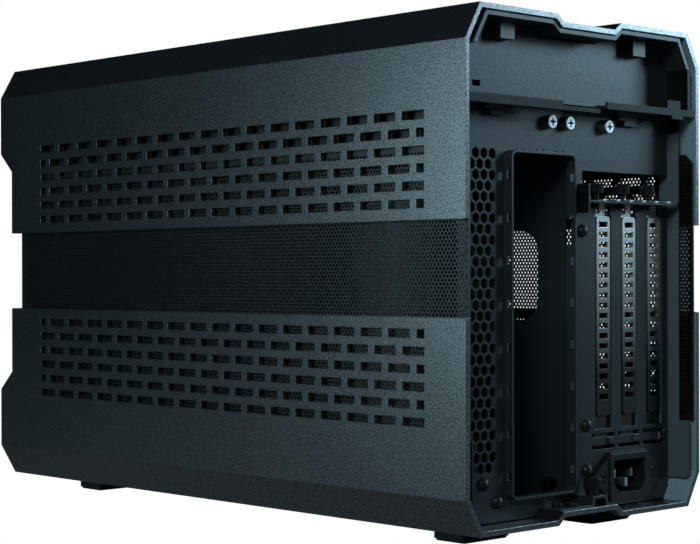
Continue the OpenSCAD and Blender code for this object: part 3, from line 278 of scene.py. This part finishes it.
def powder_coat(name, colour, roughness, grain, depth, edge, lift=2.2, fleck=0.25, metallic=0.0,
                specular=0.5, ior=1.5, painted_shade_heights=None, mottle=0.6, inside=None, painted_shadow_from=None,
                painted_shade_rear=None):
    """Sprayed and baked coat with a fine grain, faint clouds, pale specks and paler edges.

    depth is the strength of the grain's bump, lift the tint of the edges, fleck the share of
    the specks, and mottle how far the specular level varies from patch to patch. fade gives
    the heights between which a painted shade at the foot turns into the full colour. inside
    is a paler colour painted as light onto side walls that face the middle; from the height
    painted_shadow_from up, a painted shadow darkens them instead. dull gives the places along Y
    between which the specular level falls as painted shade, and the factor that it falls to.
    """
    mat, tree, shader = new_material(name)
    where = object_space(tree)
    place = add(tree, "ShaderNodeSeparateXYZ", {"Vector": where}).outputs
    fine = noise(tree, where, 1 / grain, rough=0.6)
    speck = noise(tree, where, SPECKS_PER_GRAIN / grain, detail=1.0)
    cloud = noise(tree, where, CLOUDS_PER_M, detail=3.0)
    rounded, worn = edge_mask(tree, edge)
    shade = shaded(tree, colour, cloud, MIDDLE, tints=(0.9, 1.08))
    specks = ramp(tree, speck, SPECKS, (0.0, fleck))
    shade = mix_colour(tree, specks, shade, tint(colour, SPECK_TINT))
    # Painted light: on walls that face the middle, thin is the much paler inside colour that stands
    # in for light on them
    if inside:
        thin = shaded(tree, inside, speck, PAINTED_LIGHT_SPECKS, tints=(1.0, PAINTED_LIGHT_SPECK_TINT))
        # Painted shadow: from painted_shadow_from up, those walls turn nearly black
        if painted_shadow_from:
            painted_shadow_share = ramp(tree, place["Z"], (painted_shadow_from, painted_shadow_from + PAINTED_SHADOW_BLEND))
            thin = mix_colour(tree, painted_shadow_share, thin, tint(colour, PAINTED_SHADOW_TINT))
        shade = mix_colour(tree, inward(tree, place), shade, thin)
    shade = wear(tree, worn, shade, colour, share=0.7, pale=lift)
    # Painted shade: the colour turns nearly black towards the foot of the piece
    if painted_shade_heights:
        shade = mix_colour(tree, ramp(tree, place["Z"], painted_shade_heights), tint(colour, PAINTED_SHADE_FOOT_TINT), shade)
    patches = noise(tree, where, PATCHES_PER_GRAIN / grain, rough=0.6)
    shine = ramp(tree, patches, MIDDLE, (specular * (1 - mottle), specular * (1 + mottle)))
    # Painted shade: the specular level falls towards the rear, so the rear lip looks shaded
    if painted_shade_rear:
        front, rear, factor = painted_shade_rear
        shine = calculate(tree, "MULTIPLY", shine,
                          ramp(tree, place["Y"], (front, rear), (1.0, factor)))
    finish(tree, shader, {
        "Base Color": shade,
        "Roughness": ramp(tree, fine, MIDDLE,
                          (roughness - ROUGHNESS_SWING, roughness + ROUGHNESS_SWING)),
        "Metallic": metallic, "Specular IOR Level": shine, "IOR": ior,
    }, relief=fine, strength=depth, distance=GRAIN_RELIEF, normal=rounded)
    return mat


def moulded_plastic(name, colour, roughness, grain, depth, edge, specular=0.5):
    """Injection-moulded plastic with a spark-eroded grain and soft parting edges."""
    mat, tree, shader = new_material(name)
    where = object_space(tree)
    pores = add(tree, "ShaderNodeTexVoronoi",
                {"Vector": where, "Scale": 1 / grain}).outputs["Distance"]
    rounded, worn = edge_mask(tree, edge)
    shade = shaded(tree, colour, noise(tree, where, scale=30.0), MIDDLE, tints=(0.88, 1.12))
    shade = wear(tree, worn, shade, colour, share=0.5, pale=1.8)
    finish(tree, shader, {
        "Base Color": shade, "Specular IOR Level": specular,
        "Roughness": ramp(tree, pores, (0.0, 0.8), (roughness - 0.05, roughness + 0.08)),
    }, relief=pores, strength=depth, distance=0.06 * MM, normal=rounded)
    return mat


def turned_metal(name, colour, roughness, edge, metallic=1.0):
    """Plated or blackened steel with stains and fine level tool marks."""
    mat, tree, shader = new_material(name)
    where = object_space(tree, scale=(1.0, 1.0, 6.0))
    marks = noise(tree, where, scale=900.0, rough=0.7)
    stain = noise(tree, where, scale=60.0, detail=3.0, rough=0.6)
    rounded, worn = edge_mask(tree, edge)
    shade = shaded(tree, colour, stain, (0.3, 0.75), tints=(0.8, 1.1))
    shade = wear(tree, worn, shade, colour, share=0.6, pale=1.7)
    finish(tree, shader, {
        "Base Color": shade, "Metallic": metallic,
        "Roughness": ramp(tree, marks, (0.2, 0.8), (roughness - 0.08, roughness + 0.1)),
    }, relief=marks, strength=0.12, distance=0.05 * MM, normal=rounded)
    return mat


def rubber(name, colour):
    """Matt rubber with a pale bloom."""
    mat, tree, shader = new_material(name)
    where = object_space(tree)
    skin = noise(tree, where, scale=1600.0, detail=3.0, rough=0.7)
    bloom = noise(tree, where, scale=120.0, detail=3.0, rough=0.6)
    rounded, worn = edge_mask(tree, radius=0.8 * MM)
    shade = shaded(tree, colour, bloom, (0.35, 0.75), tints=(1.0, 1.6))
    shade = wear(tree, worn, shade, colour, share=0.35, pale=2.0)
    finish(tree, shader, {
        "Base Color": shade, "Roughness": ramp(tree, skin, MIDDLE, (0.68, 0.84)),
    }, relief=skin, strength=0.3, distance=0.08 * MM, normal=rounded)
    return mat


def board_laminate(name, colour):
    """Solder mask with faint tracks under it."""
    mat, tree, shader = new_material(name)
    tracks = add(tree, "ShaderNodeTexWave",
                 {"Vector": object_space(tree), "Scale": 420.0, "Distortion": 3.0},
                 bands_direction="DIAGONAL").outputs["Fac"]
    shade = shaded(tree, colour, tracks, (0.45, 0.6), tints=(1.0, 1.7))
    finish(tree, shader, {"Base Color": shade, "Roughness": 0.35},
           relief=tracks, strength=0.3, distance=0.05 * MM)
    return mat


# Finishes


class CASE_OT_covers(bpy.types.Operator):
    """Coats the top cover and the bottom cover"""
    bl_idname = "case.covers"
    bl_label = "Coat the covers"

    def execute(self, context):
        s = context.scene.case_coat
        # Painted light: the inside colour, far paler than the coat, stands in for light on the
        # covers' walls that face the middle
        coat = powder_coat("cover_powder_coat", tuple(s.cover_colour),
                           roughness=s.cover_roughness, grain=s.grain, depth=0.2, edge=s.edge,
                           lift=2.6, fleck=0.22, ior=2.0, mottle=0.95,
                           inside=(0.125, 0.185, 0.21))
        give(coat, "top_cover", "bottom_cover")
        return {"FINISHED"}


class CASE_OT_frame(bpy.types.Operator):
    """Coats the frame, the rear panel, the tray, the brackets and the slot covers"""
    bl_idname = "case.frame"
    bl_label = "Coat the frame"

    def execute(self, context):
        s = context.scene.case_coat
        dark = tuple(s.frame_colour)
        coat = powder_coat("frame_powder_coat", dark, roughness=0.38, grain=s.grain, depth=0.2,
                           edge=s.edge * 0.6, lift=2.4, fleck=0.15, specular=0.22, mottle=0.4,
                           # painted light on walls that face the middle, and painted shadow on them
                           # from 194 mm up
                           inside=(0.05, 0.068, 0.078), painted_shadow_from=194 * MM,
                           # painted shade: less shine from 183 mm to 184.5 mm towards the rear
                           painted_shade_rear=(183 * MM, 184.5 * MM, 0.25))
        give(coat, "base_frame", "rear_panel", "side_frame_right", "side_frame_left",
             "upper_frame", "fan_bracket", "riser_bracket", "front_fascia")
        # Painted shade: the tray and the PSU bracket, seen through the holes, get a darker, less
        # shiny coat than the frame so the inside reads as shaded
        tray = powder_coat("tray_painted_shade_coat", tint(dark, 0.8), roughness=0.45, grain=s.grain,
                           depth=0.2, edge=s.edge * 0.6, specular=0.1)
        give(tray, "motherboard_tray", "psu_bracket")
        bracket = powder_coat("bracket_powder_coat", tint(dark, 0.7), roughness=0.45,
                              grain=s.grain, depth=0.25, edge=s.edge * 0.5, lift=5.0)
        give(bracket, "latch_bridge", "latch_plate")
        # Painted shade: the slot covers turn dark towards their foot, standing in for the fall-off
        # of light down them
        slots = powder_coat("slot_cover_coat", (0.44, 0.43, 0.40), roughness=0.34,
                            grain=s.grain, depth=0.12, edge=s.edge * 0.4, lift=1.6, fleck=0.05,
                            metallic=0.8, painted_shade_heights=(75 * MM, 146 * MM))
        give(slots, "slot_cover_1", "slot_cover_2", "slot_cover_3")
        return {"FINISHED"}


class CASE_OT_plastics(bpy.types.Operator):
    """Finishes the moulded pieces, the rubber feet and the circuit boards"""
    bl_idname = "case.plastics"
    bl_label = "Finish the plastics"

    def execute(self, context):
        liner = moulded_plastic("liner_plastic", (0.012, 0.015, 0.017), roughness=0.42,
                                grain=0.7 * MM, depth=0.25, edge=0.5 * MM, specular=0.36)
        give(liner, "top_liner", "cover_clip_right", "cover_clip_left", "catch_right",
             "catch_left")
        black = moulded_plastic("black_plastic", (0.008, 0.009, 0.010), roughness=0.36,
                                grain=0.5 * MM, depth=0.2, edge=0.4 * MM, specular=0.16)
        give(black, "panel_plugs", "inlet_housing", "riser_slot", "audio_port", "power_switch")
        give(rubber("foot_rubber", (0.012, 0.012, 0.013)),
             "foot_front_right", "foot_front_left", "foot_rear_right", "foot_rear_left")
        give(board_laminate("board_laminate", (0.01, 0.035, 0.02)),
             "riser_board", "front_io_board")
        return {"FINISHED"}


class CASE_OT_metals(bpy.types.Operator):
    """Finishes screws, rivets, pins, sockets, standoffs, slot shelf and power button"""
    bl_idname = "case.metals"
    bl_label = "Finish the metals"

    def execute(self, context):
        black = turned_metal("black_steel", (0.008, 0.009, 0.010), roughness=0.3,
                             edge=0.3 * MM, metallic=0.6)
        give(black, "slot_thumbscrew_1", "slot_thumbscrew_2", "slot_thumbscrew_3",
             "captive_thumbscrew", "inlet_screws", "latch_plate_screws", "slot_shelf",
             "tray_standoffs")
        bright = turned_metal("bright_steel", (0.36, 0.38, 0.38), roughness=0.4,
                              edge=0.2 * MM)
        give(bright, "frame_screws", "foot_screws", "psu_bracket_rivets", "inlet_pins",
             "usb_c_port", "usb_a_port_1", "usb_a_port_2")
        button = turned_metal("button_metal", (0.3, 0.32, 0.34), roughness=0.3,
                              edge=0.3 * MM)
        give(button, "power_button")
        return {"FINISHED"}


# Perforated side sheets

DEEP_SHEET = 2 * MM  # depth of the holes in the backed columns
BORDER = 1.0 * MM  # thickness of the plain borders
FRONT_MARGIN = 6 * MM  # from the sheet's front edge to the field
REAR_MARGIN = 1.6 * MM  # least distance from the field to the sheet's rear edge
CORNER_CUT = 4.7 * MM  # how far the upper rear corner is cut back
WELD = 0.01 * MM
HOLE_CORNERS = (210, 270, 330, 30, 90, 150)  # degrees from +Y towards +Z


def new_object(name, data):
    """An object at the origin, in the scene."""
    obj = bpy.data.objects.new(name, data)
    bpy.context.scene.collection.objects.link(obj)
    return obj


def neighbours(points):
    """The numbers of each point and of the next one, all the way round."""
    return [(i, (i + 1) % len(points)) for i in range(len(points))]


def perforated_cell(along, upward, hole, thickness):
    """One rectangle of sheet with a six-sided hole through it, standing in the YZ plane."""
    rim = [(y * along / 2, z * upward / 2)
           for y, z in ((-1, -1), (0, -1), (1, -1), (1, 1), (0, 1), (-1, 1))]
    reach = hole / math.sqrt(3)
    ring = [(reach * math.cos(math.radians(a)), reach * math.sin(math.radians(a)))
            for a in HOLE_CORNERS]
    mesh = bpy.data.meshes.new("perforated_cell")
    bm = bmesh.new()
    (rim_in, ring_in), (rim_out, ring_out) = [
        [[bm.verts.new((x, y, z)) for y, z in outline] for outline in (rim, ring)]
        for x in (-thickness / 2, thickness / 2)]
    for i, j in neighbours(rim):
        bm.faces.new((rim_out[i], rim_out[j], ring_out[j], ring_out[i]))
        bm.faces.new((rim_in[j], rim_in[i], ring_in[i], ring_in[j]))
        bm.faces.new((ring_out[i], ring_out[j], ring_in[j], ring_in[i]))
    bm.to_mesh(mesh)
    bm.free()
    return bpy.data.objects.new("perforated_cell", mesh)


def perforation_tree():
    """Geometry Nodes: a staggered field of cells, every second row half a pitch over."""
    tree = bpy.data.node_groups.new("Perforated field", "GeometryNodeTree")
    for name, kind in (("Cell", "Object"), ("Pitch along", "Float"), ("Row pitch", "Float"),
                       ("Holes", "Int"), ("Rows", "Int"), ("First row", "Int"),
                       ("Corner", "Vector"), ("Coat", "Material")):
        tree.interface.new_socket(name, in_out="INPUT", socket_type="NodeSocket" + kind)
    tree.interface.new_socket("Geometry", in_out="OUTPUT", socket_type="NodeSocketGeometry")
    given = tree.nodes.new("NodeGroupInput").outputs

    step = first(tree, "ShaderNodeCombineXYZ", {"Z": given["Row pitch"]})
    column = first(tree, "GeometryNodeMeshLine", {"Count": given["Rows"], "Offset": step},
                   mode="OFFSET")
    step = first(tree, "ShaderNodeCombineXYZ", {"Y": given["Pitch along"]})
    row = first(tree, "GeometryNodeMeshLine", {"Count": given["Holes"], "Offset": step},
                mode="OFFSET")

    index = first(tree, "GeometryNodeInputIndex")
    number = calculate(tree, "ADD", index, given["First row"])
    odd = calculate(tree, "MODULO", number, 2.0)
    half = calculate(tree, "MULTIPLY", odd, 0.5)
    over = calculate(tree, "MULTIPLY", half, given["Pitch along"])
    shift = first(tree, "ShaderNodeCombineXYZ", {"Y": over})
    staggered = first(tree, "GeometryNodeSetPosition", {"Geometry": column, "Offset": shift})

    rows = first(tree, "GeometryNodeInstanceOnPoints", {"Points": staggered, "Instance": row})
    places = first(tree, "GeometryNodeRealizeInstances", {"Geometry": rows})
    cell = add(tree, "GeometryNodeObjectInfo", {"Object": given["Cell"]}).outputs["Geometry"]
    field = first(tree, "GeometryNodeInstanceOnPoints", {"Points": places, "Instance": cell})
    real = first(tree, "GeometryNodeRealizeInstances", {"Geometry": field})
    moved = first(tree, "GeometryNodeTransform",
                  {"Geometry": real, "Translation": given["Corner"]})
    welded = first(tree, "GeometryNodeMergeByDistance", {"Geometry": moved, "Distance": WELD})
    coated = first(tree, "GeometryNodeSetMaterial",
                   {"Geometry": welded, "Material": given["Coat"]})
    add(tree, "NodeGroupOutput", {0: coated})
    return tree


def grown(name, tree, values):
    """Runs a Geometry Nodes tree and returns its result as a plain mesh object."""
    host = new_object(name + "_host", bpy.data.meshes.new(name + "_host"))
    modifier = host.modifiers.new("grow", "NODES")
    modifier.node_group = tree
    sockets = {i.name: i.identifier for i in tree.interface.items_tree if i.in_out == "INPUT"}
    for key, value in values.items():
        modifier[sockets[key]] = value
    ready = host.evaluated_get(bpy.context.evaluated_depsgraph_get())
    mesh = bpy.data.meshes.new_from_object(ready)
    bpy.data.objects.remove(host)
    mesh.name = name
    return new_object(name, mesh)


def outline_sheet(name, x0, x1, outline, material):
    """Flat sheet from x0 to x1 with an outline drawn in Y and Z."""
    mesh = bpy.data.meshes.new(name)
    bm = bmesh.new()
    near, far = [[bm.verts.new((x, y, z)) for y, z in outline] for x in (x0, x1)]
    bm.faces.new(near)
    bm.faces.new(list(reversed(far)))
    for i, j in neighbours(outline):
        bm.faces.new((near[j], near[i], far[i], far[j]))
    bmesh.ops.recalc_face_normals(bm, faces=bm.faces)
    bm.to_mesh(mesh)
    bm.free()
    mesh.materials.append(material)
    return new_object(name, mesh)


class CASE_OT_side_sheets(bpy.types.Operator):
    """Makes both perforated side sheets with their fine holes and plain borders"""
    bl_idname = "case.side_sheets"
    bl_label = "Perforate the side sheets"

    def execute(self, context):
        s = context.scene.case_holes
        paint = context.scene.case_coat
        coat = powder_coat("mesh_coat", tuple(paint.mesh_colour), roughness=0.42,
                           grain=paint.grain, depth=0.2, edge=0.12 * MM, lift=2.0, fleck=0.1,
                           specular=0.41)
        depths = {"thin": s.thickness, "deep": DEEP_SHEET}
        cells = {kind: perforated_cell(s.along, s.upward, s.hole, depth)
                 for kind, depth in depths.items()}
        tree = perforation_tree()
        rows = int((s.high - s.low) / s.upward)
        third = rows // 3
        top = s.low + rows * s.upward
        for side, node in ((1, "mesh_panel_right"), (-1, "mesh_panel_left")):
            low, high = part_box(node)
            outer = max(abs(low.x), abs(high.x))
            front = low.y + FRONT_MARGIN
            holes = int((high.y - REAR_MARGIN - front) / s.along)
            open_holes = holes - s.deep_columns
            body = "chassis"
            # Name, first row, rows, first column, columns and kind of cell
            fields = (("low", 0, third, 0, open_holes, "thin"),
                      ("mid", third, third, 0, open_holes, "thin"),
                      ("high", 2 * third, rows - 2 * third, 0, open_holes, "thin"),
                      ("rear", 0, rows, open_holes, s.deep_columns, "deep"))
            pieces = []
            for part, row, count, column, across, kind in fields:
                corner = (side * (outer - depths[kind] / 2), front + (column + 0.5) * s.along,
                          s.low + (row + 0.5) * s.upward)
                pieces.append(grown(f"{node}_{part}_field", tree, {
                    "Cell": cells[kind], "Pitch along": s.along, "Row pitch": s.upward,
                    "Holes": across, "Rows": count, "First row": row, "Corner": corner,
                    "Coat": coat}))
            start, end = front + s.along / 2, front + holes * s.along
            foot, crest = low.z, s.sheet_top
            borders = {
                "front": ((low.y, foot), (start, foot), (start, crest), (low.y, crest)),
                "rear": ((end, s.low), (high.y, s.low), (high.y, top), (end, top)),
                "low": ((start, foot), (high.y, foot), (high.y, s.low), (start, s.low)),
                "high": ((start, top), (high.y, top), (high.y - CORNER_CUT, crest),
                         (start, crest)),
            }
            x0, x1 = sorted((side * (outer - BORDER), side * outer))
            for part, outline in borders.items():
                pieces.append(outline_sheet(f"{node}_{part}_border", x0, x1, outline, coat))
            for piece in pieces:
                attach(piece, body)
            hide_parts(node)
        for cell in cells.values():
            bpy.data.objects.remove(cell)
        return {"FINISHED"}


# Stage

PHOTO_WIDTH_PX = 700
SENSOR_WIDTH_MM = 36
NEAREST, FARTHEST = 0.02, 60  # what the camera sees, in metres
WHITE = (1, 1, 1, 1)
PALE_GREYS = (0.3, 0.3, 0.3), (0.32, 0.32, 0.32)
PANEL_TOP = (0.0, 0.18, 0.2)
COOL = (0.53, 0.82, 1.0)
LIGHTS = (  # name, place, target, width, power in watts, colour
    ("side_softbox", (0.87, -0.25, 0.215), (0.087, 0.15, 0.13), 0.3, 2.45, (0.55, 0.87, 1.0)),
    ("rear_softbox", (-0.977, 0.744, 0.610), PANEL_TOP, 0.4, 8.8, COOL),
    ("rear_low_softbox", (-1.008, 0.762, 0.490), PANEL_TOP, 0.4, 3.6, COOL),
    ("near_softbox", (0.942, 0.724, 0.707), PANEL_TOP, 0.4, 9.0, (0.78, 0.94, 1.0)),
)


def area_light(name, place, target, width, power, colour):
    light = bpy.data.lights.new(name, "AREA")
    light.energy = power
    light.color = colour
    light.size = width
    obj = new_object(name, light)
    obj.location = place
    obj.rotation_euler = (Vector(target) - Vector(place)).to_track_quat("-Z", "Y").to_euler()


class CASE_OT_stage(bpy.types.Operator):
    """Sets up the pale floor, the soft lights and the camera"""
    bl_idname = "case.stage"
    bl_label = "Set the stage"

    def execute(self, context):
        scene = context.scene
        s = scene.case_studio
        mesh = bpy.data.meshes.new("studio_floor")
        r = s.floor / 2
        mesh.from_pydata([(-r, -r, 0), (r, -r, 0), (r, r, 0), (-r, r, 0)], [], [(0, 1, 2, 3)])
        floor = new_object("studio_floor", mesh)
        mat, tree, shader = new_material("studio_floor")
        shade = mix_colour(tree, noise(tree, object_space(tree), scale=2.0), *PALE_GREYS)
        fill(tree, shader, {"Base Color": shade, "Roughness": 0.9, "Specular IOR Level": 0.1})
        glow = first(tree, "ShaderNodeEmission", {"Color": WHITE, "Strength": 1.0})
        seen = add(tree, "ShaderNodeLightPath").outputs["Is Camera Ray"]
        blend = first(tree, "ShaderNodeMixShader", {0: seen, 1: shader.outputs[0], 2: glow})
        fill(tree, tree.get_output_node("ALL"), {0: blend})
        mesh.materials.append(mat)

        world = bpy.data.worlds.new("studio")
        world.use_nodes = True
        tree = world.node_tree
        seen = add(tree, "ShaderNodeLightPath").outputs["Is Camera Ray"]
        strength = ramp(tree, seen, WHOLE, (s.fill, 1.0))
        fill(tree, tree.nodes["Background"], {"Color": WHITE, "Strength": strength})
        scene.world = world
        scene.view_settings.view_transform = "Standard"
        scene.view_settings.look = "None"

        for light in LIGHTS:
            area_light(*light)

        camera = bpy.data.cameras.new("camera")
        camera.sensor_width = SENSOR_WIDTH_MM
        camera.lens = s.focal_px * SENSOR_WIDTH_MM / PHOTO_WIDTH_PX
        camera.clip_start, camera.clip_end = NEAREST, FARTHEST
        eye = new_object("camera", camera)
        eye.matrix_world = (Matrix.Translation(s.eye)
                            @ Matrix.Rotation(s.heading - math.pi / 2, 4, "Z")
                            @ Matrix.Rotation(math.pi / 2 + s.pitch, 4, "X")
                            @ Matrix.Rotation(s.roll, 4, "Z"))
        scene.camera = eye
        return {"FINISHED"}


# Panel and registration

OPERATORS = (CASE_OT_stage, CASE_OT_covers, CASE_OT_frame, CASE_OT_plastics, CASE_OT_metals,
             CASE_OT_side_sheets)
GROUPS = {"case_coat": CoatSettings, "case_holes": PerforationSettings,
          "case_studio": StudioSettings}


class CASE_PT_panel(bpy.types.Panel):
    bl_label = "Mini-ITX case"
    bl_idname = "CASE_PT_panel"
    bl_space_type = "VIEW_3D"
    bl_region_type = "UI"
    bl_category = "Case"

    def draw(self, context):
        for group in GROUPS:
            settings = getattr(context.scene, group)
            for name in settings.__annotations__:
                self.layout.prop(settings, name)
        for operator in OPERATORS:
            self.layout.operator(operator.bl_idname)


def register():
    for name, group in GROUPS.items():
        bpy.utils.register_class(group)
        setattr(bpy.types.Scene, name, PointerProperty(type=group))
    for cls in (*OPERATORS, CASE_PT_panel):
        bpy.utils.register_class(cls)


def unregister():
    for cls in (CASE_PT_panel, *reversed(OPERATORS)):
        bpy.utils.unregister_class(cls)
    for name, group in GROUPS.items():
        delattr(bpy.types.Scene, name)
        bpy.utils.unregister_class(group)


def main():
    register()
    bpy.ops.case.stage()
    bpy.ops.case.covers()
    bpy.ops.case.frame()
    bpy.ops.case.plastics()
    bpy.ops.case.metals()
    bpy.ops.case.side_sheets()


if __name__ == "__main__":
    main()
